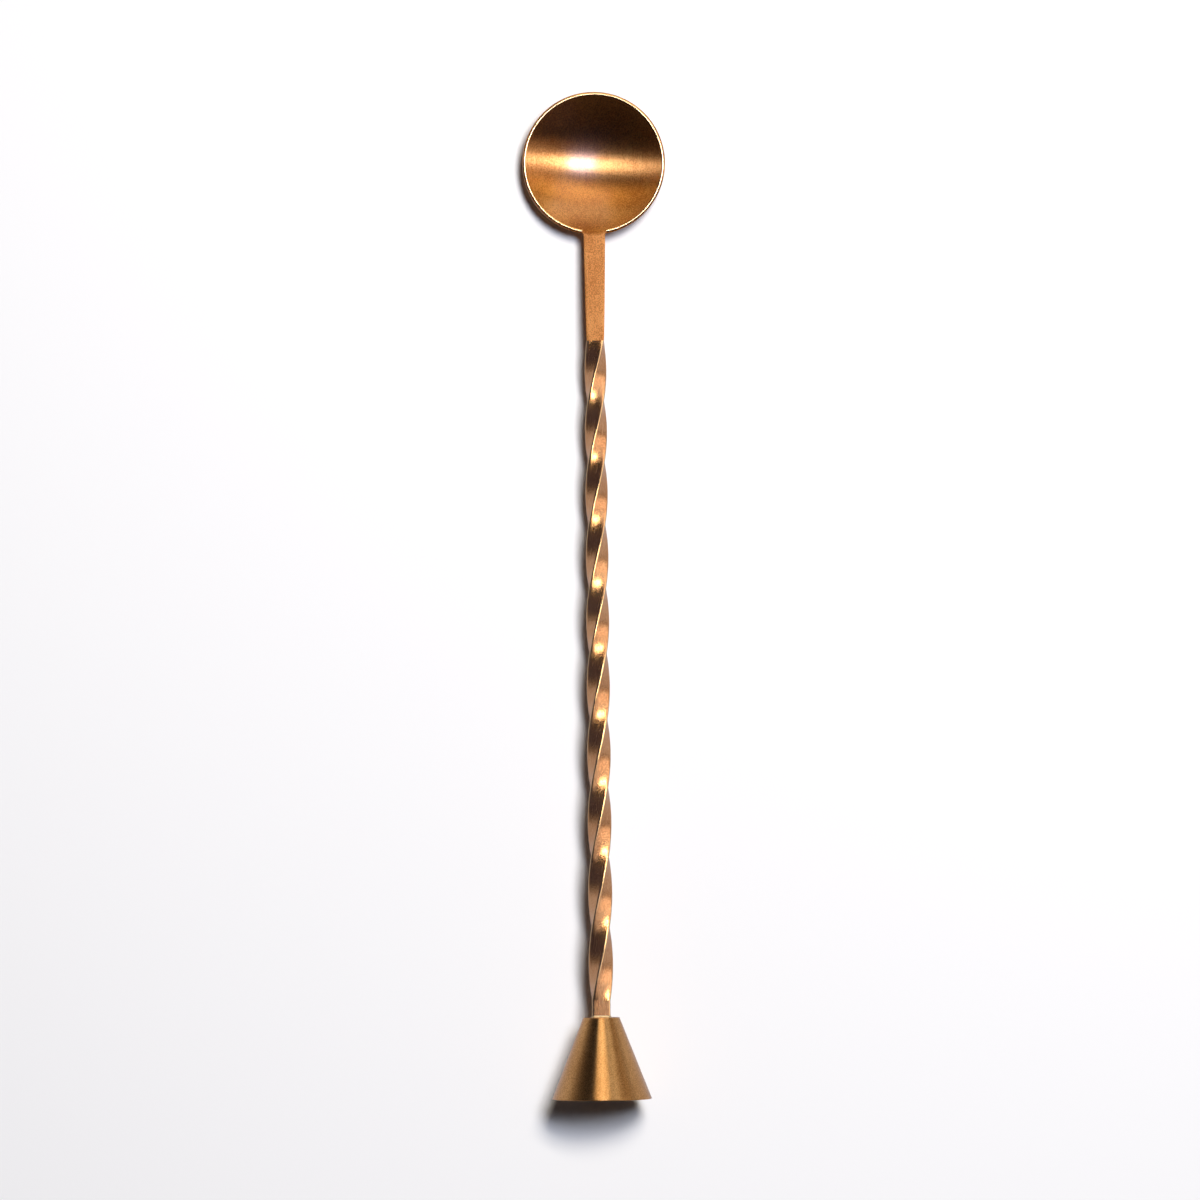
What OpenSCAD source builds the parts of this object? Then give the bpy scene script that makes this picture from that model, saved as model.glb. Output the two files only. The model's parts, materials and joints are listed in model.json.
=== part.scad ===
// Bar spoon with a round bowl, a flat neck, a twisted square stem and a cone-shaped foot.
// It lies as it would on a table: +Y runs from the foot to the bowl, the bowl opens to +Z,
// and the table is the plane z = 0, under the middle of the spoon's length.

/* [Overall] */
// Length from the foot's base to the tip of the bowl
overall_len = 250; // [200:1:320]

/* [Bowl] */
// Outside diameter of the bowl's rim
bowl_d = 35.5; // [28:0.5:44]
// Depth of the bowl inside, from the top of the rim down
bowl_depth = 5.3; // [4:0.1:8]
// Thickness of the bowl's wall
bowl_wall = 1.1; // [0.8:0.1:1.6]
// How far the top of the rim lies below the neck's flat face
rim_drop = 0.05; // [0.02:0.01:0.1]

/* [Neck] */
// Length of the flat neck, from the rim to the stem
neck_len = 26.5; // [15:0.5:45]
// Width of the neck where it meets the bowl
neck_w_bowl = 5.4; // [4.5:0.1:7]
// Thickness of the neck where it meets the bowl
neck_t_bowl = 1.6; // [1.3:0.1:2.2]
// Width of the neck where it meets the stem
neck_w_stem = 4.35; // [3.6:0.05:5.5]
// Thickness of the neck where it meets the stem
neck_t_stem = 3.7; // [3:0.1:4.5]

/* [Stem] */
// Side of the square bar next to the neck
bar_side_neck = 4.1; // [3.4:0.1:5]
// Side of the square bar next to the foot
bar_side_foot = 4.6; // [3.8:0.1:5.6]
// Radius of the bar's long edges
bar_edge_r = 0.5; // [0.3:0.05:0.8]
// Quarter turns in the twist, right-handed
quarter_turns = 10; // [4:1:20]
// How much faster the bar twists by the neck than at mid-length
twist_bias = 0.1; // [0:0.01:0.3]
// Straight length left between the twist and the foot
plain_len = 4.2; // [2:0.1:10]

/* [Foot] */
// Diameter of the cone's base
foot_d = 24.8; // [18:0.1:32]
// Diameter of the cone's flat top
foot_top_d = 9; // [7.5:0.1:12]
// Height of the cone
foot_h = 20.2; // [16:0.1:28]
// Chamfer round the base
foot_chamfer = 0.3; // [0.1:0.05:0.6]
// Chamfer round the flat top
foot_top_chamfer = 0.15; // [0.05:0.05:0.3]

/* [Joints] */
// Diameter of the neck's round tang
tang_d = 2; // [1.5:0.1:2.4]
// Length of the tang
tang_len = 8; // [5:0.5:12]
// Diameter of the stem's round tenon
tenon_d = 3.4; // [2.8:0.1:3.7]
// Length of the tenon
tenon_len = 12; // [8:0.5:14.5]
// Radial gap that the brazing metal fills round tang and tenon
braze_gap = 0.05; // [0.03:0.01:0.1]
// Room left past the end of tang and tenon
end_room = 0.5; // [0.2:0.1:1]
// Leg of the brazed fillet between the stem and the cone
fillet_leg = 0.5; // [0.3:0.1:0.6]

/* [Hidden] */
$fn = 96;

copper = [0.82, 0.52, 0.28];
bronze = [0.72, 0.50, 0.27];
filler = [0.93, 0.76, 0.50];

// Heights along the spoon's own axis, counted from the foot's base.
neck_top_z = overall_len - bowl_d;
stem_top_z = neck_top_z - neck_len;
twist_start_z = foot_h + plain_len;
twist_len = stem_top_z - twist_start_z;
bowl_z = overall_len - bowl_d / 2;

// The middle of the bowl's wall is part of a sphere, and the rim is a full round as thick as the
// wall, so the depth inside, from the top of the rim, is also the depth of that middle surface.
rim_r = (bowl_d - bowl_wall) / 2;
mid_r = (rim_r * rim_r + bowl_depth * bowl_depth) / (2 * bowl_depth);
rim_angle = asin(rim_r / mid_r);
inner_r = mid_r - bowl_wall / 2;
outer_r = mid_r + bowl_wall / 2;
rim_y = -neck_t_bowl / 2 + rim_drop;
sphere_y = rim_y + bowl_wall / 2 - mid_r * cos(rim_angle);

// The spoon rests on the bowl's underside and on the widest circle of the cone, so it leans.
foot_r = foot_d / 2;
centre_rise = foot_r - sphere_y;
centre_run = bowl_z - foot_chamfer;
lean = atan2(centre_rise, centre_run) - asin(outer_r / norm([centre_rise, centre_run]));
lift = foot_chamfer * sin(lean) + foot_r * cos(lean);
tip_y = overall_len * cos(lean) - (rim_y + bowl_wall / 2) * sin(lean);
base_y = -(foot_r - foot_chamfer) * sin(lean);
mid_y = (tip_y + base_y) / 2;

// Degrees of twist between one cross-section of the bar and the next
ring_turn = 6;
// Steps round each corner of a cross-section
corner_steps = 3;
// Length over which the square bar takes on the neck's section, and how softly that begins
blend_len = 9;
blend_power = 2;
// Cross-sections along the neck, and the power in the flare of its sides towards the bowl
neck_steps = 8;
flare_power = 0.7;
// Largest edge radius of the neck, as a share of its thickness at the bowl
edge_share = 0.45;
// How far a turned end runs on inside its bar, and a cut past the face it opens
overrun = 1;
// Thickness of the brazed fillet at its upper edge
feather = 0.05;

// Takes a part from the spoon's own axes, +Z along the stem and -Y the bowl's open side, to the table.
module on_table() {
    translate([0, -mid_y, lift]) rotate([-lean - 90, 0, 0]) children();
}

// One cross-section of a bar: a rectangle with round corners, counter-clockwise.
function section(w, d, r) = [
    for (k = [0:3], i = [0:corner_steps])
        let (a = 90 * (k + i / corner_steps),
             cx = (k == 0 || k == 3 ? 1 : -1) * (w / 2 - r),
             cy = (k < 2 ? 1 : -1) * (d / 2 - r))
        [cx + r * cos(a), cy + r * sin(a)]
];
function turned(p, a) = [p.x * cos(a) - p.y * sin(a), p.x * sin(a) + p.y * cos(a)];

// A bar through stations of [height, width, depth, edge radius, turn], lowest first.
module bar(stations) {
    m = 4 * (corner_steps + 1);
    n = len(stations);
    points = [for (s = stations, p = section(s[1], s[2], s[3])) concat(turned(p, s[4]), s[0])];
    sides = [for (i = [0:n - 2], j = [0:m - 1]) let (a = i * m + j, b = i * m + (j + 1) % m)
        each [[a, a + m, b], [b, a + m, b + m]]];
    low_end = [for (j = [0:m - 1]) j];
    high_end = [for (j = [m - 1:-1:0]) (n - 1) * m + j];
    polyhedron(points, concat([low_end], sides, [high_end]));
}

function mix(a, b, t) = a + (b - a) * t;
// Width and thickness of the neck at a share of its length, 0 at the stem and 1 at the bowl.
function neck_w(u) = mix(neck_w_stem, neck_w_bowl, pow(u, flare_power));
function neck_t(u) = mix(neck_t_stem, neck_t_bowl, u);

module neck_blade() {
    bowl_edge_r = min(bar_edge_r, edge_share * neck_t_bowl);
    stations = [for (i = [0:neck_steps]) let (u = i / neck_steps)
        [stem_top_z + neck_len * u, neck_w(u), neck_t(u), mix(bar_edge_r, bowl_edge_r, u), 0]];
    inside_bowl = [bowl_z, neck_w_bowl, neck_t_bowl, bowl_edge_r, 0];
    bar(concat(stations, [inside_bowl]));
}

// Half of the bowl's section, from the lowest point at the axis out to the round rim: a ring
// between two circles, cut by a wedge that is tall enough to cover it.
module bowl_section() {
    wedge_h = 2 * outer_r;
    intersection() {
        difference() {
            circle(outer_r);
            circle(inner_r);
        }
        polygon([[0, 0], [0, -wedge_h], [wedge_h * tan(rim_angle), -wedge_h]]);
    }
    translate(mid_r * [sin(rim_angle), -cos(rim_angle)]) circle(d = bowl_wall);
}

// The blade ends inside the wall of the bowl, on the sphere half way through it.
module bowl_and_neck() {
    color(copper) on_table() {
        translate([0, sphere_y, bowl_z]) rotate([90, 0, 0]) rotate_extrude() bowl_section();
        difference() {
            neck_blade();
            translate([0, sphere_y, bowl_z]) sphere(mid_r);
        }
        translate([0, 0, stem_top_z - tang_len]) cylinder(h = tang_len + overrun, d = tang_d);
    }
}

// Side of the square bar at a height, and the share of the way to the neck's section.
function bar_side(z) = mix(bar_side_foot, bar_side_neck, (z - foot_h) / (stem_top_z - foot_h));
function blend(z) = pow(max(0, 1 - (stem_top_z - z) / blend_len), blend_power);
// Turn of the section at a height, in degrees: none at the neck, and all of it in the straight
// length by the foot.
function twist(z) = let (v = max(0, z - twist_start_z) / twist_len)
    90 * quarter_turns * (v - twist_bias * v * (1 - v) - 1);
function station(z) = [z, mix(bar_side(z), neck_w_stem, blend(z)),
    mix(bar_side(z), neck_t_stem, blend(z)), bar_edge_r, twist(z)];

module twisted_stem() {
    rings = ceil(90 * quarter_turns / ring_turn);
    stations = [for (i = [0:rings]) station(twist_start_z + twist_len * i / rings)];
    color(copper) on_table() {
        difference() {
            bar(concat([station(foot_h)], stations));
            translate([0, 0, stem_top_z - tang_len - end_room])
                cylinder(h = tang_len + end_room + overrun, r = tang_d / 2 + braze_gap);
        }
        translate([0, 0, foot_h - tenon_len]) cylinder(h = tenon_len + overrun, d = tenon_d);
    }
}

// The square bar's section where it stands on the cone, moved to a height and grown all round.
function grown(z, by) = [z, bar_side_foot + 2 * by, bar_side_foot + 2 * by, bar_edge_r + by,
    twist(foot_h)];

// A bead of filler round the square bar where it stands on the cone.
module foot_braze() {
    color(filler) on_table() difference() {
        bar([grown(foot_h, fillet_leg), grown(foot_h + fillet_leg, feather)]);
        bar([grown(foot_h - overrun, 0), grown(foot_h + fillet_leg + overrun, 0)]);
    }
}

module cone_foot() {
    top_r = foot_top_d / 2;
    color(bronze) on_table() difference() {
        rotate_extrude() polygon([
            [0, 0], [foot_r - foot_chamfer, 0], [foot_r, foot_chamfer],
            [top_r, foot_h - foot_top_chamfer], [top_r - foot_top_chamfer, foot_h], [0, foot_h]
        ]);
        translate([0, 0, foot_h - tenon_len - end_room])
            cylinder(h = tenon_len + end_room + overrun, r = tenon_d / 2 + braze_gap);
    }
}

bowl_and_neck();
twisted_stem();
foot_braze();
cone_foot();
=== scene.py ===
# %% [markdown]
# # A bar spoon in copper and bronze
#
# A bar spoon is three pieces joined for good: a pressed bowl on a flat neck, a square bar that is
# twisted while it is held at both ends, and a turned cone that works as a muddler and a weight.
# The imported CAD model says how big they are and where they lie. This script remakes each piece
# as a finer mesh, gives it its finish, and lights it on a pale table.

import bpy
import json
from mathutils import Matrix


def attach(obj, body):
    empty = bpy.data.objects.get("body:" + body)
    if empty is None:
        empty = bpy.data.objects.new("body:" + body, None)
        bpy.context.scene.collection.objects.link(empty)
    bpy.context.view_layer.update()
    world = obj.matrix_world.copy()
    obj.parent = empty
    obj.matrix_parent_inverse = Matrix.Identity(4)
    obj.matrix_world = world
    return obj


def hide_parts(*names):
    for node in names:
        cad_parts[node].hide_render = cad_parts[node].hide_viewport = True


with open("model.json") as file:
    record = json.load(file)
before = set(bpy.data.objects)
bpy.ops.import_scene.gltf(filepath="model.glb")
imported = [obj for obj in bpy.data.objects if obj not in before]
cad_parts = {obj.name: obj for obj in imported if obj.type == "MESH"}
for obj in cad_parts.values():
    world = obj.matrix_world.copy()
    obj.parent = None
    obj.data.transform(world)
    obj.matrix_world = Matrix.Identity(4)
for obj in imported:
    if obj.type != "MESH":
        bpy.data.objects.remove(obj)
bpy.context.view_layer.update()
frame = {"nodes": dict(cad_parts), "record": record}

# %% [markdown]
# Lengths are in metres everywhere, as in the frame. Drawings of cutlery are in millimetres, so one
# constant turns the numbers of a drawing into metres. Three small lengths say when two points
# count as one: meshes are merged and points are told apart with them.

# %% Modules and units
import json
import math

import bmesh
import bpy
from mathutils import Matrix, Vector

MM = 0.001
MERGE_DISTANCE = 0.0005 * MM
CLOSE = 0.001 * MM
NEAR = 0.01 * MM
print(f"one millimetre is {MM} m")

# %% [markdown]
# ## The spoon's own axes
#
# The spoon rests on its bowl and on the edge of its cone, so it leans a little on the table. Every
# piece is easier to draw on axes of its own: x across, y along the stem from the foot's base to
# the tip of the bowl, and z out of the bowl's open side. The foot's flat base is a mount in the
# record, and its place and direction give those axes exactly.

# %% Own axes, and lengths measured on them
base = next(m for m in frame["record"]["mounts"] if m["name"] == "foot_base")
along = -Vector(base["axis"])
across = Vector((1, 0, 0))
lean = Matrix((across, along, across.cross(along))).transposed().to_4x4()
spoon = Matrix.Translation(base["pos_m"]) @ lean


def far_corner(node):
    """The largest x, y and z in a CAD node, on the spoon's own axes."""
    inverse = spoon.inverted()
    points = [inverse @ v.co for v in frame["nodes"][node].data.vertices]
    return Vector(map(max, zip(*points)))


bowl_corner = far_corner("bowl_and_neck")
foot_corner = far_corner("cone_foot")
overall = bowl_corner.y
bowl_radius = bowl_corner.x
foot_radius = foot_corner.x
foot_height = foot_corner.y
stem_top = far_corner("twisted_stem").y
print(f"spoon {overall / MM:.1f} mm long, bowl {2 * bowl_radius / MM:.1f} mm, "
      f"foot {2 * foot_radius / MM:.1f} by {foot_height / MM:.1f} mm")

# %% [markdown]
# ## Driving sizes
#
# The rest of the sizes are those of the design, in millimetres: walls, thicknesses, the joints
# and the twist. They are written once here, and everything below is worked out from them.

# %% Driving sizes
BOWL_DEPTH = 5.3 * MM
BOWL_WALL = 1.1 * MM
RIM_DROP = 0.05 * MM
NECK_WIDTH_BOWL, NECK_WIDTH_STEM = 5.4 * MM, 4.35 * MM
NECK_THICK_BOWL, NECK_THICK_STEM = 1.6 * MM, 3.7 * MM
BAR_SIDE_NECK, BAR_SIDE_FOOT = 4.1 * MM, 4.6 * MM
BAR_EDGE = 0.5 * MM
QUARTER_TURNS, TWIST_BIAS = 10, 0.1
PLAIN_LENGTH, BLEND_LENGTH = 4.2 * MM, 9 * MM
FOOT_TOP_RADIUS = 4.5 * MM
TANG_RADIUS, TANG_LENGTH = 1.0 * MM, 8 * MM
TENON_RADIUS, TENON_LENGTH = 1.7 * MM, 12 * MM
BRAZE_GAP, END_ROOM = 0.05 * MM, 0.5 * MM
FILLET_LEG = 0.5 * MM

# %% [markdown]
# ## The camera
#
# The camera looks straight down from 1.8 m with a long lens, so the spoon shows almost without
# perspective. It stands a millimetre off the spoon's middle and is turned by half a degree, as a
# camera on a real tripod would be. It is made first, so that every later look is through it.

# %% Camera
CAMERA_HEIGHT = 1.8
CAMERA_ACROSS, CAMERA_ALONG = 0.6 * MM, -1.2 * MM
CAMERA_ROLL = 0.52
FRAME_WIDTH = 0.2992
SENSOR_WIDTH = 36

camera_data = bpy.data.cameras.new("camera")
camera_data.sensor_width = SENSOR_WIDTH
camera_data.lens = SENSOR_WIDTH * CAMERA_HEIGHT / FRAME_WIDTH
camera = bpy.data.objects.new("camera", camera_data)
camera.location = (CAMERA_ACROSS, CAMERA_ALONG, CAMERA_HEIGHT)
camera.rotation_euler = (0, 0, math.radians(-CAMERA_ROLL))
bpy.context.scene.collection.objects.link(camera)
bpy.context.scene.camera = camera
bpy.context.scene.view_settings.view_transform = "Standard"
print(f"lens {camera_data.lens:.0f} mm")

# %% [markdown]
# ## Shader maths in plain Python
#
# A material is a small formula: noise goes in, colour, roughness and height come out. Wrapping a
# socket in a class that knows +, - and * lets the formula be written as one, and each operator
# adds its Math node. Everything else, such as a noise texture, comes from the one method `node`.

# %% A socket that Python's operators work on
class Signal:
    """A value on its way through a material's nodes."""

    def __init__(self, tree, socket=None):
        self.tree = tree
        self.socket = socket

    def node(self, kind, settings=None, inputs=None, output=0):
        """Adds a node, makes its settings, fills its inputs with values or signals."""
        made = self.tree.nodes.new(kind)
        for name, value in (settings or {}).items():
            setattr(made, name, value)
        for name, value in (inputs or {}).items():
            if isinstance(value, Signal):
                self.tree.links.new(value.socket, made.inputs[name])
            else:
                made.inputs[name].default_value = value
        return Signal(self.tree, made.outputs[output])

    def maths(self, operation, other=0.0):
        """This value and another, put together by a Math node."""
        return self.node("ShaderNodeMath", {"operation": operation}, {0: self, 1: other})

    def __add__(self, other):
        return self.maths("ADD", other)

    def __sub__(self, other):
        return self.maths("SUBTRACT", other)

    def __mul__(self, other):
        return self.maths("MULTIPLY", other)

    def stretched(self, sizes):
        """A coordinate divided by a size along each axis, so that noise of size 1 has those sizes."""
        factors = [1 / size for size in sizes]
        return self.node("ShaderNodeVectorMath", {"operation": "MULTIPLY"}, {0: self, 1: factors})

    def noise(self, sizes, detail=2.0):
        """Noise from 0 to 1 over a coordinate, with the given feature sizes in metres."""
        return self.node("ShaderNodeTexNoise", {"noise_dimensions": "3D"},
                         {"Vector": self.stretched(sizes), "Scale": 1.0, "Detail": detail,
                          "Roughness": 0.5})

    def ramp(self, low, high, start=0.0, end=1.0):
        """This value taken from low..high to start..end with soft ends."""
        return self.node("ShaderNodeMapRange", {"interpolation_type": "SMOOTHSTEP"},
                         {0: self, 1: low, 2: high, 3: start, 4: end})

    def blend(self, first, second):
        """A colour between two, by this value."""
        return self.node("ShaderNodeMix", {"data_type": "RGBA"}, {0: self, 6: first, 7: second}, 2)

    def axis(self, letter):
        """One coordinate of a position."""
        return self.node("ShaderNodeSeparateXYZ", {}, {0: self}, "XYZ".index(letter))


# %% [markdown]
# Bare metal is the Principled shader with Metallic at 1. Its base colour is the colour of its
# reflections, its roughness how far they are blurred, and its height bends them by a few degrees.
# A coat is a second, clear surface on top: a lacquer or a wax.

# %% A metal from three or four formulas
def metal(name, colour, roughness, height, anisotropy=0.0, coat=None, coat_roughness=0.2):
    """A metal whose colour, roughness and height are formulas of a place on the object."""
    material = bpy.data.materials.new(name)
    material.use_nodes = True
    tree = material.node_tree
    shader = tree.nodes["Principled BSDF"]
    shader.inputs["Metallic"].default_value = 1.0
    shader.inputs["Anisotropic"].default_value = anisotropy
    shader.inputs["Coat Roughness"].default_value = coat_roughness
    place = Signal(tree).node("ShaderNodeTexCoord", output=3)
    bump = place.node("ShaderNodeBump", {}, {"Height": height(place), "Distance": 1.0,
                                             "Strength": 1.0})
    tree.links.new(colour(place).socket, shader.inputs["Base Color"])
    tree.links.new(roughness(place).socket, shader.inputs["Roughness"])
    tree.links.new(bump.socket, shader.inputs["Normal"])
    if coat:
        tree.links.new(coat(place).socket, shader.inputs["Coat Weight"])
    return material


# %% [markdown]
# ## Which way the brushing runs
#
# Brushed metal stretches every highlight across its scratches. The Principled shader does this
# with Anisotropic, and takes the direction from the mesh's texture space: it circles that space's
# vertical axis. Moving the texture space a kilometre away makes the circle a straight line over
# the small piece, so the stretch has one clear direction.

# %% Direction of the stretched highlight
FAR_AWAY = 1000.0


def stretch_highlight(piece, degrees):
    """Highlights on this piece spread along a line at this angle to the across direction."""
    mesh = piece.data
    mesh.use_auto_texspace = False
    mesh.texspace_size = (1, 1, 1)
    angle = math.radians(degrees)
    mesh.texspace_location = (FAR_AWAY * math.sin(angle), -FAR_AWAY * math.cos(angle), 0)


# %% [markdown]
# ## Helpers for the meshes
#
# All three bars here, the neck, the stem and the brazed bead, have the same cross-section: a
# rectangle with round corners. A point of the square from -1 to 1 is laid on that section by
# scaling it and pulling it in to the corner's circle. Columns crowd towards the edges, where the
# surface turns. The stem and the bead start from the same square, whose points keep their place
# in it as two numbers, u and w.

# %% The section of a bar
CROWD = 0.35
BAR_COLUMNS = 14


def crowded(u):
    """-1..1 to -1..1, with the points closer together near the ends."""
    return u * (1 + CROWD) - CROWD * u ** 3


def on_section(u, w, width, depth, radius):
    """Where a point of the square (u, w) lies on a rectangle with round corners."""
    point = Vector((u * width / 2, w * depth / 2))
    core_x = max(-width / 2 + radius, min(width / 2 - radius, point.x))
    core_z = max(-depth / 2 + radius, min(depth / 2 - radius, point.y))
    core = Vector((core_x, core_z))
    out = point - core
    if out.length > radius:
        out = out.normalized() * radius
    return core + out


def square_face():
    """A new bmesh with one square face, and the layers that keep its points' u and w."""
    bm = bmesh.new()
    bmesh.ops.create_grid(bm, x_segments=BAR_COLUMNS, y_segments=BAR_COLUMNS, size=1)
    bmesh.ops.dissolve_faces(bm, faces=bm.faces[:])
    u_layer = bm.verts.layers.float.new("u")
    w_layer = bm.verts.layers.float.new("w")
    for vert in bm.verts:
        vert[u_layer], vert[w_layer] = crowded(vert.co.x), crowded(vert.co.y)
    return bm, u_layer, w_layer


print(f"a bar's section has {4 * BAR_COLUMNS} points")

# %% [markdown]
# A long piece grows by extruding its end face again and again, as a potter adds rings. An end is
# finished by stepping the face in to a circle and running it on, outwards for a peg or back
# inwards for a socket. A bmesh that is complete becomes a piece: it is laid on the table, its
# shading is parted at sharp edges, it rides the root body, and the node of the CAD model that it
# stands for is hidden.

# %% Extrusions and finished pieces
def extruded(bm, faces, keep=False):
    """Extrudes faces in place and returns the new faces and their vertices.

    The old faces would be left inside the piece, so they go, unless they are its first end.
    """
    made = bmesh.ops.extrude_face_region(bm, geom=faces)["geom"]
    if not keep:
        bmesh.ops.delete(bm, geom=faces, context="FACES")
    caps = [g for g in made if isinstance(g, bmesh.types.BMFace)]
    verts = [g for g in made if isinstance(g, bmesh.types.BMVert)]
    return caps, verts


def turned_end(bm, face, radius, reach):
    """Steps an end face in to a circle and runs it on: a round peg, or a socket if it goes back in."""
    caps, verts = extruded(bm, [face])
    centre = caps[0].calc_center_median()
    for vert in verts:
        vert.co = centre + (vert.co - centre).normalized() * radius
    caps, verts = extruded(bm, caps)
    bmesh.ops.translate(bm, verts=verts, vec=(0, reach, 0))


def finished(bm, name, sharp_angle, node):
    """Writes the bmesh to a piece in its place on the table, which stands for its CAD node."""
    bmesh.ops.remove_doubles(bm, verts=bm.verts, dist=MERGE_DISTANCE)
    bmesh.ops.recalc_face_normals(bm, faces=bm.faces)
    bmesh.ops.transform(bm, matrix=spoon, verts=bm.verts)
    open_edges = sum(not e.is_manifold for e in bm.edges)
    mesh = bpy.data.meshes.new(name)
    bm.to_mesh(mesh)
    bm.free()
    mesh.shade_smooth()
    mesh.set_sharp_from_angle(angle=math.radians(sharp_angle))
    piece = bpy.data.objects.new(name, mesh)
    bpy.context.scene.collection.objects.link(piece)
    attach(piece, "root")
    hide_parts(node)
    print(f"{name}: {len(mesh.polygons)} faces, {open_edges} edges open or shared by three")
    return piece


# %% [markdown]
# ## The bowl and its neck
#
# The bowl is pressed from sheet, so its wall is one thickness everywhere and its rim is a full
# round. Half its outline, spun round the bowl's axis, makes it exactly. The neck is then drawn
# out of the rim, as it is on the real blank: the rim's faces on the stem's side are extruded step
# by step down to the stem, and the corners between neck and rim are smoothed.

# %% The bowl, spun from its outline
BOWL_STEPS = 288
SURFACE_ROWS, RIM_ROWS = 46, 14

rim_circle = bowl_radius - BOWL_WALL / 2
middle_radius = (rim_circle ** 2 + BOWL_DEPTH ** 2) / (2 * BOWL_DEPTH)
rim_angle = math.asin(rim_circle / middle_radius)
bowl_y = overall - bowl_radius
rim_z = NECK_THICK_BOWL / 2 - RIM_DROP - BOWL_WALL / 2
sphere_z = rim_z + middle_radius * math.cos(rim_angle)


def bowl_outline():
    """From the middle of the inside, over the rim, to the middle of the underside: (radius, z)."""
    inner, outer = middle_radius - BOWL_WALL / 2, middle_radius + BOWL_WALL / 2
    up = [rim_angle * i / SURFACE_ROWS for i in range(SURFACE_ROWS + 1)]
    inside = [(inner * math.sin(a), sphere_z - inner * math.cos(a)) for a in up]
    turn = [rim_angle + math.pi / 2 - math.pi * i / RIM_ROWS for i in range(1, RIM_ROWS)]
    rim = [(rim_circle + BOWL_WALL / 2 * math.cos(t), rim_z + BOWL_WALL / 2 * math.sin(t))
           for t in turn]
    outside = [(outer * math.sin(a), sphere_z - outer * math.cos(a)) for a in reversed(up)]
    return inside + rim + outside


def chain(bm, points):
    """Vertices joined one after another by edges."""
    verts = [bm.verts.new(p) for p in points]
    edges = [bm.edges.new(pair) for pair in zip(verts, verts[1:])]
    return verts + edges


bowl = bmesh.new()
outline = chain(bowl, [(0, bowl_y - r, z) for r, z in bowl_outline()])
bmesh.ops.spin(bowl, geom=outline, cent=(0, bowl_y, 0), axis=(0, 0, 1), angle=2 * math.pi,
               steps=BOWL_STEPS, use_merge=True)
bmesh.ops.remove_doubles(bowl, verts=bowl.verts, dist=MERGE_DISTANCE)
print(f"bowl {len(bowl.faces)} faces, rim at {math.degrees(rim_angle):.1f} degrees")

# %% [markdown]
# The neck is pressed from the same sheet, so its top runs down into the bowl in one soft bend, and
# its underside meets the bowl in a hollow one. Both bends are arcs that touch the bowl's sphere
# and the neck's flat face. The neck's sides meet the rim in small fillets.

# %% The bends between the neck and the bowl
TOP_BEND, UNDER_BEND, SIDE_FILLET = 4.0 * MM, 2.5 * MM, 0.35 * MM
WINDOW_COLUMNS = 16
FLARE = 0.7

inner_radius, outer_radius = middle_radius - BOWL_WALL / 2, middle_radius + BOWL_WALL / 2
neck_start = bowl_y - bowl_radius
neck_length = neck_start - stem_top
widest = NECK_WIDTH_BOWL / 2 + SIDE_FILLET
side_start = bowl_y - math.sqrt(bowl_radius ** 2 - widest ** 2)


def eased(share):
    """0..1 to 0..1 with a soft start and end."""
    share = min(1, max(0, share))
    return share * share * (3 - 2 * share)


def neck_section(share):
    """Width, thickness and edge radius of the neck, from 0 at the stem to 1 at the bowl."""
    width = NECK_WIDTH_STEM + (NECK_WIDTH_BOWL - NECK_WIDTH_STEM) * share ** FLARE
    thick = NECK_THICK_STEM + (NECK_THICK_BOWL - NECK_THICK_STEM) * share
    return width, thick, BAR_EDGE


class Bend:
    """An arc that runs from a sphere of the bowl out to a flat face of the neck."""

    def __init__(self, level, sphere_radius, radius):
        self.level, self.sphere_radius, self.radius = level, sphere_radius, radius
        rise = sphere_z - level + radius
        self.outer = math.sqrt((sphere_radius + radius) ** 2 - rise ** 2)
        self.inner = self.outer * sphere_radius / (sphere_radius + radius)

    def sphere(self, reach):
        """Height of the bowl's sphere at a distance from its axis."""
        return sphere_z - math.sqrt(self.sphere_radius ** 2 - reach ** 2)

    def height(self, reach):
        """Height of the sphere, the arc or the flat face at a distance from the bowl's axis."""
        if reach <= self.inner:
            return self.sphere(reach)
        off = max(0, self.outer - reach)
        return self.level - self.radius + math.sqrt(self.radius ** 2 - off ** 2)


top_bend = Bend(NECK_THICK_BOWL / 2, inner_radius, TOP_BEND)
under_bend = Bend(-NECK_THICK_BOWL / 2, outer_radius, UNDER_BEND)
print(f"top bend {top_bend.inner / MM:.2f} to {top_bend.outer / MM:.2f} mm from the bowl's axis, "
      f"underside {under_bend.inner / MM:.2f} to {under_bend.outer / MM:.2f} mm")

# %% [markdown]
# The spun bowl is still a plain dish. Where the neck will leave it, its inside and its underside
# are eased onto the two bends, fully in the middle and less and less to either side, as the press
# leaves it. Without this the neck would start at a crease.

# %% Ease the bowl onto the bends where the neck will leave it
EASE_INSIDE, EASE_OUTSIDE = 2.0 * MM, 3.3 * MM


def from_rim(point):
    """Angle from the neck's direction, and place on the rim's round: distance and turn.

    The turn is measured from the middle of the round, from the inside edge to the outside one.
    """
    angle = math.atan2(point.x, bowl_y - point.y)
    reach = math.hypot(point.x, bowl_y - point.y) - rim_circle
    turn = math.atan2(point.z - rim_z, reach)
    turn = (turn - rim_angle + math.pi) % (2 * math.pi) - math.pi
    return angle, math.hypot(reach, point.z - rim_z), turn


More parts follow.
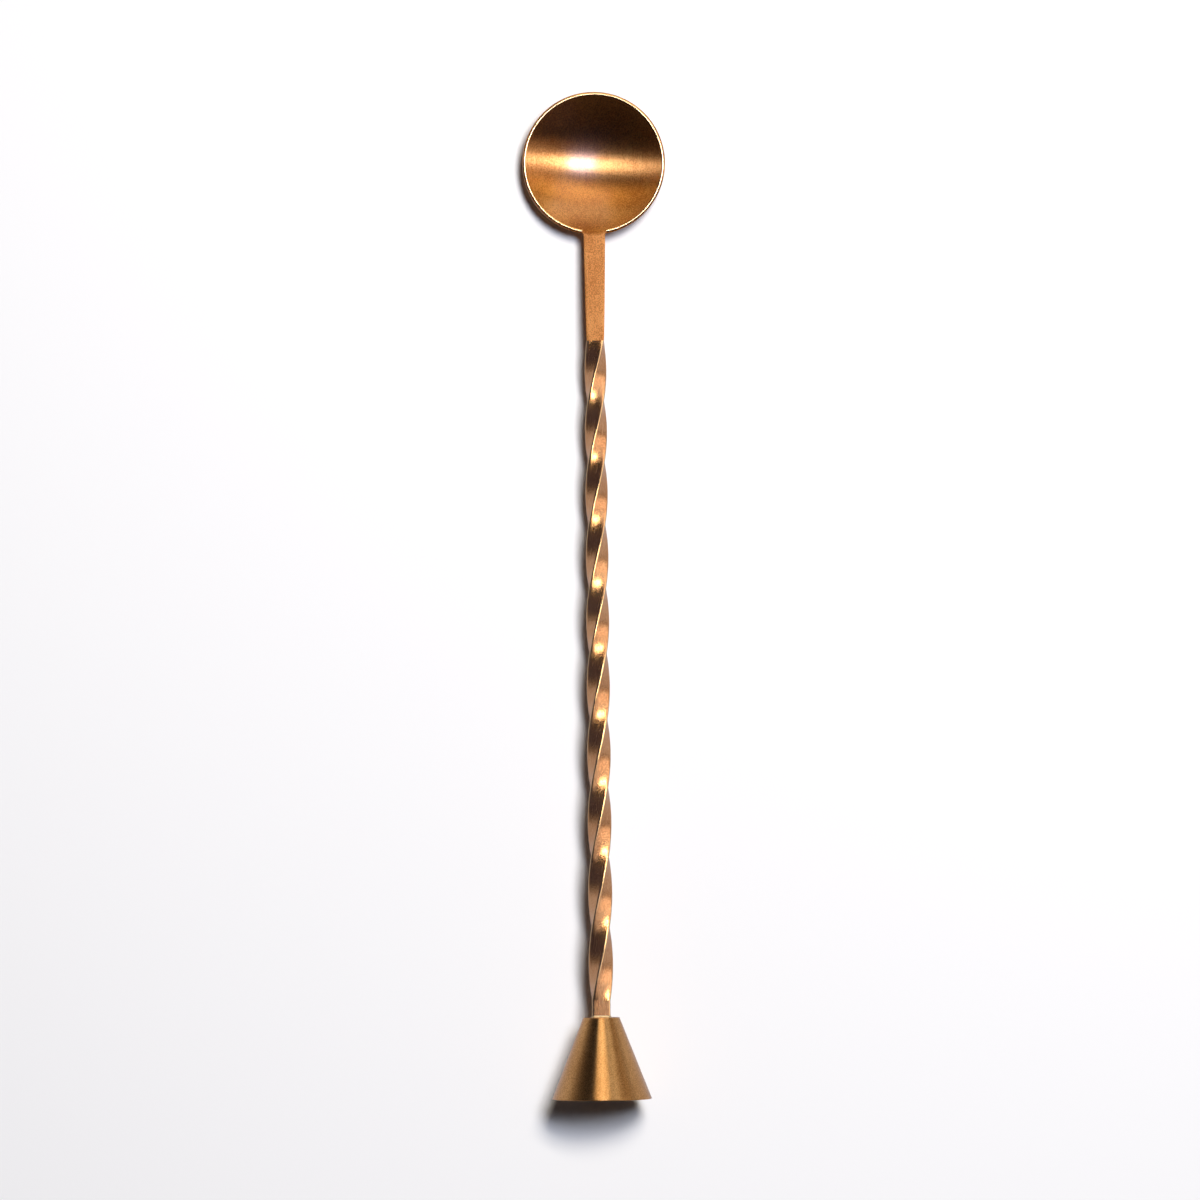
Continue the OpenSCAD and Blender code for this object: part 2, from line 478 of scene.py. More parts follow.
eased_points = 0
for vert in bowl.verts:
    reach = math.hypot(vert.co.x, bowl_y - vert.co.y)
    weight = 1 - eased((abs(vert.co.x) - EASE_INSIDE) / (EASE_OUTSIDE - EASE_INSIDE))
    if weight == 0 or vert.co.y > bowl_y:
        continue
    for bend in (top_bend, under_bend):
        on_sphere = reach <= bend.sphere_radius * math.sin(rim_angle) + CLOSE
        if on_sphere and abs(vert.co.z - bend.sphere(reach)) < CLOSE:
            vert.co.z += (bend.height(reach) - bend.sphere(reach)) * weight
            eased_points += 1
            break
print(f"{eased_points} points eased")

# %% [markdown]
# The rim's faces on the neck's side are extruded station by station down to the stem. Each of
# their points gets two numbers: u across the neck, and w from its top to its underside. Every
# extrusion copies them, and they say where the point lies on the section of each station.

# %% The neck, drawn out of the rim
ROOT_STEPS, NECK_STEPS = 24, 56
ROOT_LENGTH = 1.6 * MM
WINDOW_REACH = 0.53 * BOWL_WALL

half_window = WINDOW_COLUMNS * math.pi / BOWL_STEPS
u_layer = bowl.verts.layers.float.new("u")
w_layer = bowl.verts.layers.float.new("w")


def in_window(face):
    """Whether a face is on the part of the rim that the neck grows out of."""
    angle, distance, _ = from_rim(face.calc_center_median())
    return abs(angle) < half_window and distance < WINDOW_REACH


def neck_point(u, w, y):
    """A point of the neck's section at a place along the spoon."""
    width, thick, radius = neck_section(min(1, (y - stem_top) / neck_length))
    left = min(SIDE_FILLET, max(0, SIDE_FILLET - (side_start - y)))
    width += 2 * (SIDE_FILLET - math.sqrt(SIDE_FILLET ** 2 - left ** 2))
    flat = on_section(crowded(u), w, width, thick, radius)
    top = top_bend.height(bowl_y - y) - NECK_THICK_BOWL / 2 + thick / 2
    under = under_bend.height(bowl_y - y) + NECK_THICK_BOWL / 2 - thick / 2
    return Vector((flat.x, y, (top + under) / 2 + flat.y / thick * (top - under)))


window = [f for f in bowl.faces if in_window(f)]
columns = {}
for vert in {v for f in window for v in f.verts}:
    column = round(from_rim(vert.co)[0] * BOWL_STEPS / (2 * math.pi))
    columns.setdefault(column, []).append(vert)
for number, column in columns.items():
    column.sort(key=lambda v: from_rim(v.co)[2], reverse=True)
    for i, vert in enumerate(column):
        vert[u_layer] = 2 * number / WINDOW_COLUMNS
        vert[w_layer] = 1 - 2 * i / (len(column) - 1)
starts = {(round(v[u_layer], 3), round(v[w_layer], 3)): v.co.copy()
          for f in window for v in f.verts}
print(f"neck grows out of {len(window)} faces, {len(columns)} by {len(starts) // len(columns)}")

caps = window
root_end = neck_start - ROOT_LENGTH
for step in range(1, ROOT_STEPS + 1):
    caps, verts = extruded(bowl, caps)
    share = step / ROOT_STEPS
    for vert in verts:
        u, w = vert[u_layer], vert[w_layer]
        start = starts[round(u, 3), round(w, 3)]
        y = start.y + (root_end - start.y) * share
        drift = start - neck_point(u, w, start.y)
        vert.co = neck_point(u, w, y) + drift * (1 - eased(share))
for step in range(1, NECK_STEPS + 1):
    caps, verts = extruded(bowl, caps)
    y = root_end + (stem_top - root_end) * step / NECK_STEPS
    for vert in verts:
        vert.co = neck_point(vert[u_layer], vert[w_layer], y)

neck_end = bmesh.ops.dissolve_faces(bowl, faces=caps)["region"][0]
turned_end(bowl, neck_end, TANG_RADIUS, -TANG_LENGTH)

# %% [markdown]
# Two corners are left, where the neck's sides meet the rim. On the real blank a file takes them
# off. Here the points near each are moved towards their neighbours eight times, over a smaller
# patch each time, so that the middle of the corner is smoothed the most.

# %% Smooth the two corners beside the neck
SMOOTH_ROUNDS, SMOOTH_REACH = 8, 0.9 * MM


def beside_neck(point, reach):
    """Whether a point is within reach of the two corners between the neck's sides and the rim."""
    corner = Vector((NECK_WIDTH_BOWL / 2 + SIDE_FILLET / 2, side_start))
    return math.hypot(abs(point.x) - corner.x, point.y - corner.y) < reach


for i in range(SMOOTH_ROUNDS):
    joint = [v for v in bowl.verts if beside_neck(v.co, SMOOTH_REACH * (1 - i / SMOOTH_ROUNDS))]
    bmesh.ops.smooth_vert(bowl, verts=joint, factor=0.5, use_axis_x=True, use_axis_y=True,
                          use_axis_z=True)
print(f"{len(joint)} points smoothed in the last round")

# %% [markdown]
# The rim is polished on a wheel after the bowl has been brushed, which wears the plating pale and
# smooth along its inner edge. Its faces there, on the top and inner side of the round, get the
# second material. Its paler copper is also a painted highlight: it stands in for the bright line
# that the softbox above makes along the rim. Then the piece is finished.

# %% The polished rim, and the finished bowl
RIM_TURN = math.radians(25)
ROUND_INNER, ROUND_OUTER = 0.45 * BOWL_WALL, 0.51 * BOWL_WALL

rim_faces = 0
for face in bowl.faces:
    angle, distance, turn = from_rim(face.calc_center_median())
    on_round = ROUND_INNER < distance < ROUND_OUTER
    # These upward, inner faces of the round take the paler copper, which is wear and a painted
    # highlight together.
    if abs(angle) > half_window and on_round and turn > RIM_TURN:
        face.material_index = 1
        rim_faces += 1
print(f"{rim_faces} faces on the rim")
bowl_and_neck = finished(bowl, "bowl_and_neck_piece", sharp_angle=60,
                         node="bowl_and_neck")
stretch_highlight(bowl_and_neck, degrees=-4)

# %% [markdown]
# ## The twisted stem
#
# The bar starts square. One end is held and the other turned ten quarter turns, so each flat face
# becomes a helical one that is slightly hollow, and each edge a ridge. The mesh is made the same
# way: one square face with crowded columns is extruded along the bar, and each ring is turned a
# little more than the last. Each point also remembers where it was before the twist, so that the
# brushing in the material twists with the bar.

# %% The bar's section and twist
twist_start = foot_height + PLAIN_LENGTH
twist_length = stem_top - twist_start


def bar_section(y):
    """Width, depth and edge radius of the bar: square, and like the neck's end close to it."""
    share = (y - foot_height) / (stem_top - foot_height)
    side = BAR_SIDE_FOOT + (BAR_SIDE_NECK - BAR_SIDE_FOOT) * share
    near_neck = max(0, 1 - (stem_top - y) / BLEND_LENGTH) ** 2
    width = side + (NECK_WIDTH_STEM - side) * near_neck
    depth = side + (NECK_THICK_STEM - side) * near_neck
    return width, depth, BAR_EDGE


def twist_at(y):
    """Turn of the bar at a place along it, in radians, none at the neck."""
    v = max(0, y - twist_start) / twist_length
    return math.pi / 2 * QUARTER_TURNS * (v - TWIST_BIAS * v * (1 - v) - 1)


print(f"twisted for {twist_length / MM:.1f} mm")

# %% [markdown]
# The rings are a third of a millimetre apart, which is fine enough for the ridges to be smooth
# curves. The first ring keeps its face as the bar's end, and every later one moves it on.

# %% The stem, ring by ring
RING_LENGTH = 0.35 * MM

stem, u_layer, w_layer = square_face()
before_twist = stem.verts.layers.float_vector.new("before_twist")


def lay_ring(verts, y):
    """Puts a ring of the bar's points at a place along it."""
    turn = Matrix.Rotation(-twist_at(y), 2)
    width, depth, radius = bar_section(y)
    for vert in verts:
        flat = on_section(vert[u_layer], vert[w_layer], width, depth, radius)
        vert[before_twist] = (flat.x, y, flat.y)
        flat = turn @ flat
        vert.co = (flat.x, y, flat.y)


lay_ring(stem.verts, foot_height)
caps = stem.faces[:]
rings = round((stem_top - foot_height) / RING_LENGTH)
for ring in range(1, rings + 1):
    caps, verts = extruded(stem, caps, keep=ring == 1)
    lay_ring(verts, foot_height + (stem_top - foot_height) * ring / rings)
stem.faces.ensure_lookup_table()
print(f"stem {rings} rings, {math.degrees(-twist_at(foot_height)):.0f} degrees of twist")

# %% [markdown]
# Neither end shows, but both are made as they would be. The top has a blind bore for the neck's
# tang, with room for the brazing metal and a little air behind it. The foot has a tenon that is
# turned down from the bar and goes into the cone.

# %% Its socket and its tenon
turned_end(stem, caps[0], TANG_RADIUS + BRAZE_GAP, -TANG_LENGTH - END_ROOM)
ends = [f for f in stem.faces if all(abs(v.co.y - foot_height) < NEAR for v in f.verts)]
turned_end(stem, ends[0], TENON_RADIUS, -TENON_LENGTH)
twisted_stem = finished(stem, "twisted_stem_piece", sharp_angle=50,
                        node="twisted_stem")
stretch_highlight(twisted_stem, degrees=0)

# %% [markdown]
# ## The cone foot
#
# The cone is turned on a lathe, so it is one outline spun round the stem's axis: base, side, flat
# top and the blind bore for the tenon. The two rims get small rounds from the bevel operator. The
# side has many rows, so that its shading is not pulled about by the rounds.

# %% The cone
CONE_STEPS, CONE_ROWS = 160, 40
BASE_SHARES = (0, 0.3, 0.6, 0.85, 0.95)
BASE_ROUND, TOP_ROUND = 0.3 * MM, 0.15 * MM
ROUND_SEGMENTS = 5

bore = TENON_RADIUS + BRAZE_GAP
bore_end = foot_height - TENON_LENGTH - END_ROOM
side = [(foot_radius + (FOOT_TOP_RADIUS - foot_radius) * i / CONE_ROWS, foot_height * i / CONE_ROWS)
        for i in range(CONE_ROWS + 1)]
base_rings = [(foot_radius * share, 0) for share in BASE_SHARES]
inside = [(bore, foot_height), (bore, bore_end), (0, bore_end)]
cone = bmesh.new()
outline = chain(cone, [(0, y, r) for r, y in base_rings + side + inside])
bmesh.ops.spin(cone, geom=outline, cent=(0, 0, 0), axis=(0, 1, 0), angle=2 * math.pi,
               steps=CONE_STEPS, use_merge=True)
bmesh.ops.remove_doubles(cone, verts=cone.verts, dist=MERGE_DISTANCE)


def circle_edges(bm, radius, y):
    """The edges of a circle round the stem's axis."""
    def on_it(v):
        return abs(math.hypot(v.co.x, v.co.z) - radius) < CLOSE and abs(v.co.y - y) < CLOSE
    return [e for e in bm.edges if on_it(e.verts[0]) and on_it(e.verts[1])]


for radius, y, size in ((foot_radius, 0, BASE_ROUND), (FOOT_TOP_RADIUS, foot_height, TOP_ROUND)):
    bmesh.ops.bevel(cone, geom=circle_edges(cone, radius, y), offset=size, offset_type="OFFSET",
                    affect="EDGES", segments=ROUND_SEGMENTS, profile=0.5, material=-1)
cone_foot = finished(cone, "cone_foot_piece", sharp_angle=40, node="cone_foot")
stretch_highlight(cone_foot, degrees=90)

# %% [markdown]
# ## The brazed bead
#
# Where the bar stands on the cone, brazing metal has run into the corner and set in a small hollow
# fillet. A ring of the bar's section is extruded along a quarter circle, then back inside to close
# the loop.

# %% The bead
BEAD_STEPS = 8

bead, u_layer, w_layer = square_face()
bead_turn = Matrix.Rotation(-twist_at(foot_height), 2)


def bead_point(u, w, grown, y):
    """A point of the bar's section at the foot, grown all round."""
    section = BAR_SIDE_FOOT + 2 * grown
    flat = bead_turn @ on_section(u, w, section, section, BAR_EDGE + grown)
    return flat.x, y, flat.y


arc = [math.pi / 2 * i / BEAD_STEPS for i in range(BEAD_STEPS + 1)]
stations = [(FILLET_LEG * (1 - math.sin(a)), foot_height + FILLET_LEG * (1 - math.cos(a)))
            for a in arc] + [(0, foot_height)]
bmesh.ops.delete(bead, geom=bead.faces[:], context="FACES_ONLY")
loops = [bead.edges[:]]
for vert in bead.verts:
    vert.co = bead_point(vert[u_layer], vert[w_layer], *stations[0])
for grown, y in stations[1:]:
    made = bmesh.ops.extrude_edge_only(bead, edges=loops[-1])["geom"]
    verts = [g for g in made if isinstance(g, bmesh.types.BMVert)]
    for vert in verts:
        vert.co = bead_point(vert[u_layer], vert[w_layer], grown, y)
    loops.append([e for e in bead.edges if e.verts[0] in verts and e.verts[1] in verts])
bmesh.ops.bridge_loops(bead, edges=loops[0] + loops[-1])
foot_braze = finished(bead, "foot_braze_piece", sharp_angle=50, node="foot_braze")

# %% [markdown]
# ## Tarnish and speckle
#
# The copper and the bronze have been handled and washed, so they are dull in slow clouds, in
# streaks along the brushing and in speckles a quarter of a millimetre wide. One formula adds the
# three kinds of noise, and the coppers and the bronze share it. The speckles count most, because
# they are what keeps a plain metal from looking like plastic. They are also a little raised.

# %% Tarnish shared by the metals
SCRATCH_DEPTH, SPECKLE_DEPTH = 0.003 * MM, 0.010 * MM
GRAIN = (0.07 * MM, 6 * MM, 0.07 * MM)
STREAK = (0.5 * MM, 30 * MM, 0.5 * MM)
CLOUD = (7 * MM, 9 * MM, 7 * MM)
SPECKLE = (0.24 * MM, 0.34 * MM, 0.24 * MM)
CLOUD_SHARE, STREAK_SHARE, SPECKLE_SHARE = 0.35, 0.2, 0.9
BRIGHT_UP_TO, DULL_FROM = 0.60, 0.86


def tarnish(place):
    """0 on bright metal to 1 on dull, in clouds, streaks and fine speckles."""
    clouds = place.noise(CLOUD, detail=3.0) * CLOUD_SHARE + place.noise(STREAK) * STREAK_SHARE
    speckles = place.noise(SPECKLE, detail=1.0) * SPECKLE_SHARE
    return (clouds + speckles).ramp(BRIGHT_UP_TO, DULL_FROM)


def varied(place, sizes, middle, spread):
    """A value that noise moves up and down round its middle."""
    return (place.noise(sizes) - 0.5) * spread + middle


print(f"metals are dull from {DULL_FROM}, bright up to {BRIGHT_UP_TO}")

# %% [markdown]
# ## Brushed copper
#
# The bowl and the neck are plated steel, brushed lengthwise with a fine belt. Up close that is
# thousands of scratches under a tenth of a millimetre wide. Noise that is stretched along the
# spoon gives them, in height and in roughness. The neck, which is never polished as bright as the
# bowl, is rougher. A clear lacquer covers the bowl. It thins out towards the neck, which has
# none, since fingers wear it off there.

# %% Copper for the bowl and the neck
COPPER_LIGHT = (1.0, 0.45, 0.105, 1)
COPPER_DEEP = (0.70, 0.235, 0.042, 1)
BOWL_ROUGHNESS, NECK_ADDS = 0.37, 0.39
LACQUER_ROUGHNESS = 0.22
NECK_SIDE, BOWL_SIDE = 1.0 * MM, 6 * MM
LACQUER_FADE = 8 * MM
STREAK_DEPTH, BOWL_SPECKLE_DEPTH = 0.004 * MM, 0.012 * MM

rim_world_y = (spoon @ Vector((0, neck_start, 0))).y


def copper_colour(place):
    return tarnish(place).blend(COPPER_LIGHT, COPPER_DEEP)


def bowl_roughness(place):
    start, end = rim_world_y - NECK_SIDE, rim_world_y + BOWL_SIDE
    neckness = place.axis("Y").ramp(start, end, 1.0, 0.0)
    clouds = varied(place, CLOUD, middle=BOWL_ROUGHNESS, spread=0.06)
    grain = varied(place, GRAIN, middle=0.0, spread=0.10)
    return neckness * NECK_ADDS + clouds + grain


def bowl_height(place):
    scratches = place.noise(GRAIN, detail=3.0) * SCRATCH_DEPTH
    streaks = place.noise(STREAK) * STREAK_DEPTH
    return place.noise(SPECKLE, detail=1.0) * BOWL_SPECKLE_DEPTH + scratches + streaks


def lacquer(place):
    return place.axis("Y").ramp(rim_world_y, rim_world_y + LACQUER_FADE)


bowl_and_neck.data.materials.append(
    metal("copper_brushed", copper_colour, bowl_roughness, bowl_height, anisotropy=1.0,
          coat=lacquer, coat_roughness=LACQUER_ROUGHNESS))
print("bowl and neck:", bowl_and_neck.data.materials[0].name)

# %% [markdown]
# The rim has the same copper, worn paler and smoother by the wheel. Its paler colour is partly a
# painted highlight as well. It has no brushing and no lacquer, only a slow unevenness, so it shows
# as one thin bright line round the bowl.

# %% Copper for the rim
# Paler copper for the rim: partly wear, partly a painted highlight.
RIM_WEAR_AND_HIGHLIGHT_LIGHT = (1.0, 0.58, 0.22, 1)
RIM_WEAR_AND_HIGHLIGHT_DEEP = (0.90, 0.46, 0.15, 1)
RIM_ROUGHNESS = 0.26
RIM_WAVE = 0.01 * MM


def rim_wear_and_highlight_colour(place):
    # The rim's paler copper is wear and painted highlight together.
    return tarnish(place).blend(RIM_WEAR_AND_HIGHLIGHT_LIGHT, RIM_WEAR_AND_HIGHLIGHT_DEEP)


def rim_roughness(place):
    return varied(place, CLOUD, middle=RIM_ROUGHNESS, spread=0.1)


def rim_height(place):
    return place.noise(CLOUD) * RIM_WAVE


bowl_and_neck.data.materials.append(
    metal("copper_rim_wear_and_highlight", rim_wear_and_highlight_colour, rim_roughness, rim_height))
print("rim:", bowl_and_neck.data.materials[1].name)

# %% [markdown]
# ## Copper on the twisted stem
#
# The stem is plated a rosier copper than the bowl. It was brushed before it was twisted, so its
# scratches wind round with it: their noise is taken at the place each point had before the twist.
# The four ridges are rubbed by every hand, so they are smoother and worn a little paler. Their
# paler colour is also a painted highlight, standing in for the bright line that light makes along
# each ridge. A point is on a ridge where it lies nearly as far out one way as the other.

# %% Copper for the twisted stem
ROSE_LIGHT = (0.95, 0.53, 0.27, 1)
ROSE_DEEP = (0.72, 0.35, 0.16, 1)
# Paler copper for the ridges: partly wear, partly a painted highlight along each ridge.
RIDGE_WEAR_AND_HIGHLIGHT = (1.0, 0.68, 0.38, 1)
RIDGE_FROM, RIDGE_FULL = 0.78, 0.90
STEM_ROUGHNESS, RIDGE_ADDS = 0.25, -0.07
BAR_GRAIN = (0.09 * MM, 5 * MM, 0.09 * MM)


def straight(place):
    """The place each point had before the bar was twisted."""
    return place.node("ShaderNodeAttribute", {"attribute_name": "before_twist"}, {}, 1)


def ridge(place):
    """0 on the bar's flat faces, 1 on its four edges."""
    bar = straight(place)
    x = bar.axis("X").maths("ABSOLUTE")
    z = bar.axis("Z").maths("ABSOLUTE")
    share = x.maths("MINIMUM", z).maths("DIVIDE", x.maths("MAXIMUM", z))
    return share.ramp(RIDGE_FROM, RIDGE_FULL)


def stem_colour(place):
    faces = tarnish(place).blend(ROSE_LIGHT, ROSE_DEEP)
    # The ridges take the paler copper, which is wear and a painted highlight together.
    return ridge(place).blend(faces, RIDGE_WEAR_AND_HIGHLIGHT)


def stem_roughness(place):
    faces = varied(straight(place), BAR_GRAIN, middle=STEM_ROUGHNESS, spread=0.12)
    return ridge(place) * RIDGE_ADDS + faces


def stem_height(place):
    scratches = straight(place).noise(BAR_GRAIN, detail=3.0) * SCRATCH_DEPTH
    return place.noise(SPECKLE, detail=1.0) * SPECKLE_DEPTH + scratches


twisted_stem.data.materials.append(
    metal("copper_twisted", stem_colour, stem_roughness, stem_height, anisotropy=0.5))
print("stem:", twisted_stem.data.materials[0].name)

# %% [markdown]
# ## Turned bronze
#
# The cone came off a lathe, so its fine lines run round it. They stretch every highlight along
# the cone's side into streaks that fan out from its top. A thin wax over the bronze, thicker in
# some places than in others, adds a second and fainter reflection on top of them.

# %% Bronze for the cone
BRONZE_LIGHT = (0.94, 0.51, 0.18, 1)
BRONZE_DEEP = (0.70, 0.32, 0.085, 1)
CONE_ROUGHNESS, WAX_ROUGHNESS = 0.31, 0.3
WAX_THIN, WAX_ADDS = 0.4, 0.2
TURNING = (4 * MM, 0.06 * MM, 4 * MM)
TURNING_DEPTH = 0.002 * MM


def bronze_colour(place):
    return tarnish(place).blend(BRONZE_LIGHT, BRONZE_DEEP)


def cone_roughness(place):
    return varied(place, TURNING, middle=CONE_ROUGHNESS, spread=0.14)


def cone_wax(place):
    return place.noise(CLOUD) * WAX_ADDS + WAX_THIN


def cone_height(place):
    lines = place.noise(TURNING, detail=3.0) * TURNING_DEPTH
    return lines + place.noise(SPECKLE) * SPECKLE_DEPTH


cone_foot.data.materials.append(
    metal("bronze_turned", bronze_colour, cone_roughness, cone_height, anisotropy=0.9,
          coat=cone_wax, coat_roughness=WAX_ROUGHNESS))
print("cone:", cone_foot.data.materials[0].name)

# %% [markdown]
# ## Brazing metal
#
# Brazing metal is a yellower alloy than the plating. It froze as it ran, so it has small ripples
# of the same size in colour, roughness and height.

# %% Brazing metal for the bead
BRAZE_LIGHT = (0.95, 0.78, 0.48, 1)
BRAZE_DEEP = (0.84, 0.60, 0.32, 1)
RIPPLE = (0.3 * MM, 0.3 * MM, 0.3 * MM)
RIPPLE_DEPTH = 0.02 * MM


def braze_colour(place):
    return place.noise(RIPPLE).ramp(0.4, 0.6).blend(BRAZE_LIGHT, BRAZE_DEEP)


def braze_roughness(place):
    return place.noise(RIPPLE) * 0.2 + 0.2


def braze_height(place):
    return place.noise(RIPPLE) * RIPPLE_DEPTH


foot_braze.data.materials.append(
    metal("brazing_metal", braze_colour, braze_roughness, braze_height))
print("bead:", foot_braze.data.materials[0].name)

# %% [markdown]
# ## The table
#
# The spoon lies on a white, matt table. It is one big square that lets a view from below through.
# In the metal's reflections it is about half as bright. This is a painted shade, standing in for
# the table going dim away from the lights, and it keeps the edges of the metal dark against the white.

# %% The table
TABLE_HALF = 5.0
TABLE_WHITE = (0.90, 0.90, 0.90, 1)
# The table's colour in the metal's reflections: painted shade.
TABLE_PAINTED_SHADE = (0.42, 0.42, 0.44, 1)

table = bmesh.new()
bmesh.ops.create_grid(table, x_segments=1, y_segments=1, size=TABLE_HALF)
table_mesh = bpy.data.meshes.new("table")
table.to_mesh(table_mesh)
table.free()
table_top = bpy.data.objects.new("table", table_mesh)
bpy.context.scene.collection.objects.link(table_top)

paper = bpy.data.materials.new("white_table")
paper.use_nodes = True
paper_shader = paper.node_tree.nodes["Principled BSDF"]
paper_shader.inputs["Roughness"].default_value = 0.8
paper_shader.inputs["Specular IOR Level"].default_value = 0.2
nodes = Signal(paper.node_tree)
sees_back = nodes.node("ShaderNodeNewGeometry", output=6)
in_reflection = nodes.node("ShaderNodeLightPath", output=3)
# In reflections the table takes its painted shade.
paper_colour = in_reflection.blend(TABLE_WHITE, TABLE_PAINTED_SHADE)
paper.node_tree.links.new(paper_colour.socket, paper_shader.inputs["Base Color"])
clear = nodes.node("ShaderNodeBsdfTransparent")
seen_from_above = Signal(paper.node_tree, paper_shader.outputs[0])
both = nodes.node("ShaderNodeMixShader", {}, {0: sees_back, 1: seen_from_above, 2: clear})
paper_output = paper.node_tree.nodes["Material Output"]
paper.node_tree.links.new(both.socket, paper_output.inputs["Surface"])
table_mesh.materials.append(paper)
print(f"table {2 * TABLE_HALF:.0f} m square")


# %% [markdown]
# ## The light
#
# Polished metal has hardly any look of its own: what is seen is what it reflects. So most of the
# softboxes are for one or two pieces, and light linking keeps them off the rest. Each is a
# rectangle of even brightness, given as radiance, so that a bigger one is not a dimmer one. Its
# power follows from its area. The lights for the metal hardly brighten the table, and those for
# the table don't show in the metal, so each can be set without spoiling the other.

# %% A softbox
def softbox(name, place, aim, width, height, radiance, colour, receivers=None, table=False,
            level=False):
    """A soft area light that shines on the metal, or on the table.

    A level one has its width across the spoon. The others have their height in the upright
    plane that holds the light and its aim.
    """
    data = bpy.data.lights.new(name, "AREA")
    data.shape = "RECTANGLE"
    data.size = width
    data.size_y = height
    data.energy = radiance * math.pi * width * height
    data.color = colour
    light = bpy.data.objects.new(name, data)
    light.location = place
    direction = (Vector(place) - Vector(aim)).normalized()
    if level:
        upright = direction.cross(Vector((1, 0, 0))).normalized()
        axes = Matrix((upright.cross(direction), upright, direction)).transposed()
        light.rotation_euler = axes.to_euler()
    else:
        light.rotation_euler = direction.to_track_quat("Z", "Y").to_euler()
    light.visible_camera = False
    light.visible_glossy = not table
    light.visible_diffuse = table
    bpy.context.scene.collection.objects.link(light)
    if receivers:
        group = bpy.data.collections.new(name)
        for piece in receivers:
            group.objects.link(piece)
        light.light_linking.receiver_collection = group


middle = Vector((0, 0, 0.01))
bowl_place = spoon @ Vector((0, bowl_y, 0))
foot_place = spoon @ Vector((0, foot_height / 2, 0))
print("softboxes aim at the bowl at", [round(v, 3) for v in bowl_place])

# %% [markdown]
# The bowl is a hollow mirror. A bright softbox high over it makes the band across its middle, and
# a broad warm panel beyond it lights its near half, the neck and the stem. Its far half looks
# back at the near side, where there is only a faint light, so it stays dark but not black.

# %% Lights for the bowl and the neck
softbox("bowl_softbox", (0.078, 0.148, 0.412), bowl_place, width=0.17, height=0.070,
        radiance=20, colour=(0.86, 1.02, 1.75), receivers=[bowl_and_neck], level=True)
softbox("near_fill", (1.2, -1.3, 1.2), middle, width=1.3, height=1.3,
        radiance=0.08, colour=(1.0, 0.8, 0.9), receivers=[bowl_and_neck], level=True)
softbox("far_panel", (0.52, 1.55, 2.05), middle, width=2.4, height=0.9,
        radiance=1.85, colour=(1.0, 0.86, 0.62), receivers=[bowl_and_neck, twisted_stem])

# %% [markdown]
# Each turn of the stem has one face that tilts to the right and looks up. A small softbox close by
# makes a bright spot on it, and a large dim one behind it keeps the rest of the face from going
# black. The short plain part above the cone looks straight up, so it has a small light of its
# own, and a very faint cool one from the left shows the faces that turn away.

# %% Lights for the stem
softbox("stem_softbox", (0.074, 0.003, 0.285), (0.0, 0.003, 0.01), width=0.05, height=0.10,
        radiance=13, colour=(1.0, 0.93, 0.68), receivers=[twisted_stem], level=True)
softbox("stem_side", (0.38, 0.0, 0.412), (0.0, 0.0, 0.01), width=0.70, height=0.7,
        radiance=0.60, colour=(1.0, 0.93, 0.95), receivers=[twisted_stem], level=True)
softbox("stem_end", (0.006, -0.104, 0.25), (0.0, -0.104, 0.01), width=0.05, height=0.05,
        radiance=0.9, colour=(1.0, 0.93, 0.95), receivers=[twisted_stem], level=True)
softbox("left_fill", (-1.2, 0.0, 1.2), middle, width=1.6, height=1.6,
        radiance=0.05, colour=(0.95, 0.85, 1.3), receivers=[twisted_stem], level=True)

# %% [markdown]
# The cone shows a fan of streaks. A narrow softbox high over it makes the bright one down its
# middle, a wide dim one the soft glow on its right, and a panel beyond the bowl the broad middle
# tone. That panel is narrower than the bowl's, because a wide one would spread over both flanks.

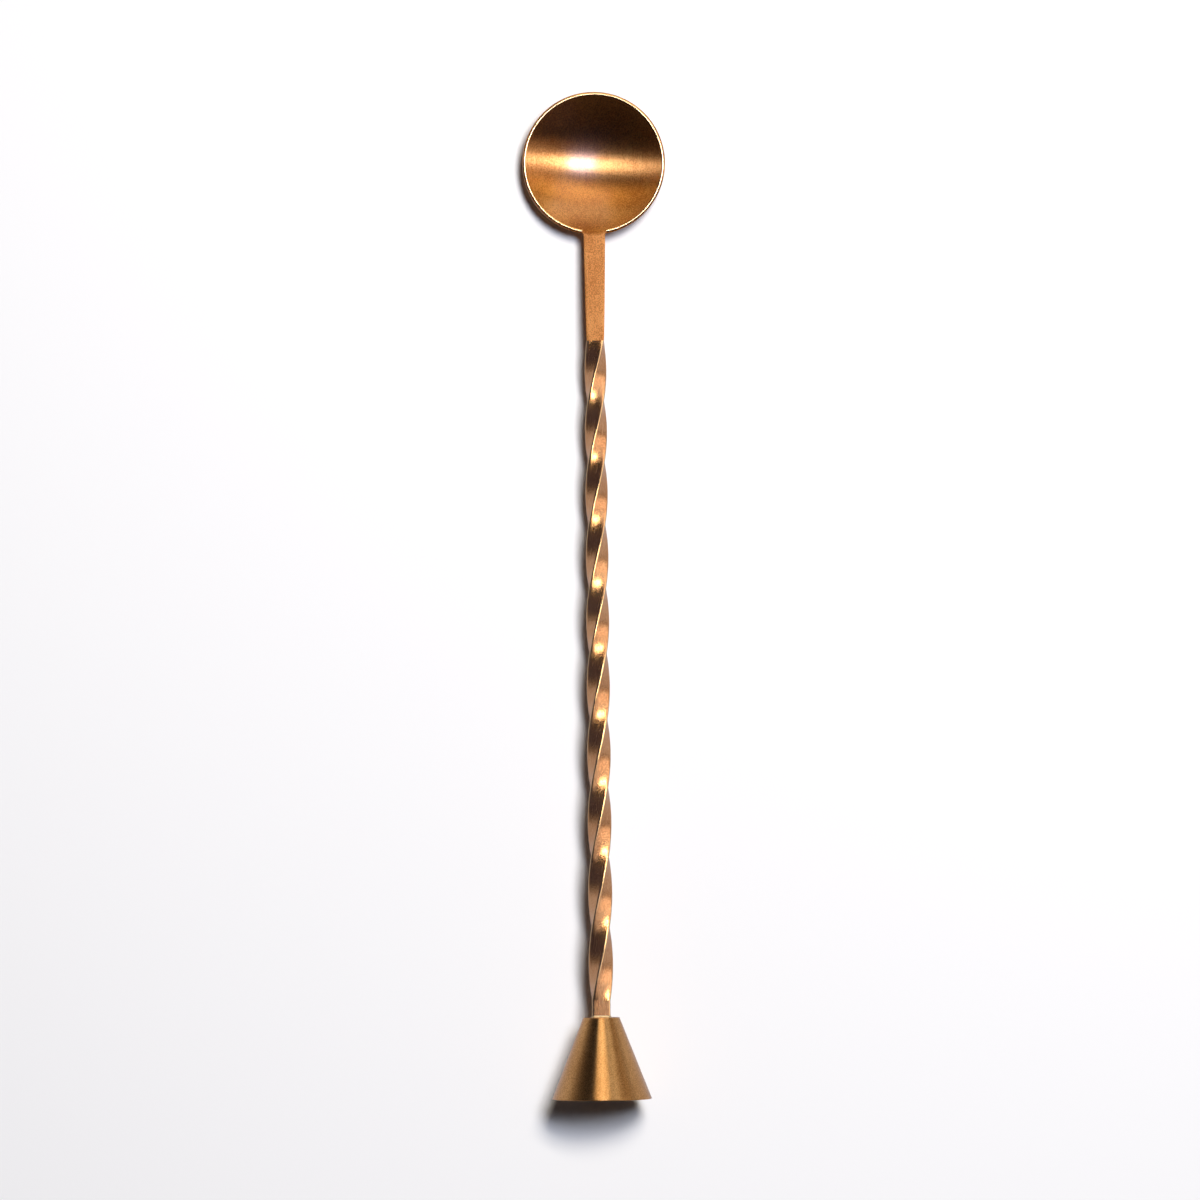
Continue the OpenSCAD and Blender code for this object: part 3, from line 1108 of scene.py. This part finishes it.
# %% Lights for the cone and the bead
foot_pieces = [cone_foot, foot_braze]
softbox("foot_softbox", (0.013, -0.09, 0.35), foot_place, width=0.062, height=0.10,
        radiance=7.5, colour=(1.0, 0.97, 1.05), receivers=foot_pieces, level=True)
softbox("foot_side", (0.75, -0.1, 1.0), foot_place, width=0.8, height=0.9,
        radiance=0.36, colour=(1.0, 0.9, 0.9), receivers=foot_pieces, level=True)
softbox("foot_far", (0.06, 1.55, 2.05), middle, width=1.45, height=0.9,
        radiance=1.8, colour=(1.0, 0.86, 0.66), receivers=foot_pieces, level=True)

# %% [markdown]
# Two more panels show in every piece: a low one far beyond the bowl and a warm one to the right.
# The table has two lights of its own, one behind the other, high up on the right and beyond the
# bowl. So the shadows are soft and fall to the left and towards the foot. One light is cool and
# the other warm, which tints the shadows' edges.

# %% Lights for everything, and lights for the table
softbox("low_panel", (0.52, 2.3, 1.05), middle, width=2.4, height=1.5,
        radiance=1.2, colour=(1.0, 1.0, 1.0))
softbox("right_panel", (2.2, 0.26, 1.3), middle, width=1.6, height=1.6,
        radiance=0.6, colour=(1.0, 0.78, 0.55))
softbox("table_cool", (0.265, 0.27, 1.2), middle, width=0.4, height=0.22,
        radiance=35.0, colour=(0.88, 0.93, 1.08), table=True)
softbox("table_warm", (0.265, 0.50, 1.2), middle, width=0.4, height=0.25,
        radiance=35.0, colour=(1.12, 1.04, 0.92), table=True)
print(len(bpy.data.lights), "lights")

# %% [markdown]
# ## The room
#
# The camera sees an even, nearly white room. The metal sees a darker one: its walls glow a little
# near the table and are almost black higher up, as in a studio with its lamps off. That darkness
# above is what gives the metal its contrast.

# %% The room
BACKDROP = (0.93, 0.93, 0.94, 1)
WALL_GLOW = (0.22, 0.20, 0.19, 1)
WALL_DARK = (0.003, 0.004, 0.008, 1)
GLOW_UP_TO = 0.45

world = bpy.data.worlds.new("room")
bpy.context.scene.world = world
world.use_nodes = True
air = Signal(world.node_tree)
seen = air.node("ShaderNodeLightPath", output=0)
elevation = air.node("ShaderNodeTexCoord", output=0).axis("Z")
walls = elevation.ramp(0.0, GLOW_UP_TO).blend(WALL_GLOW, WALL_DARK)
backdrop = seen.blend(walls, BACKDROP)
world.node_tree.links.new(backdrop.socket, world.node_tree.nodes["Background"].inputs["Color"])
print("world:", world.name)
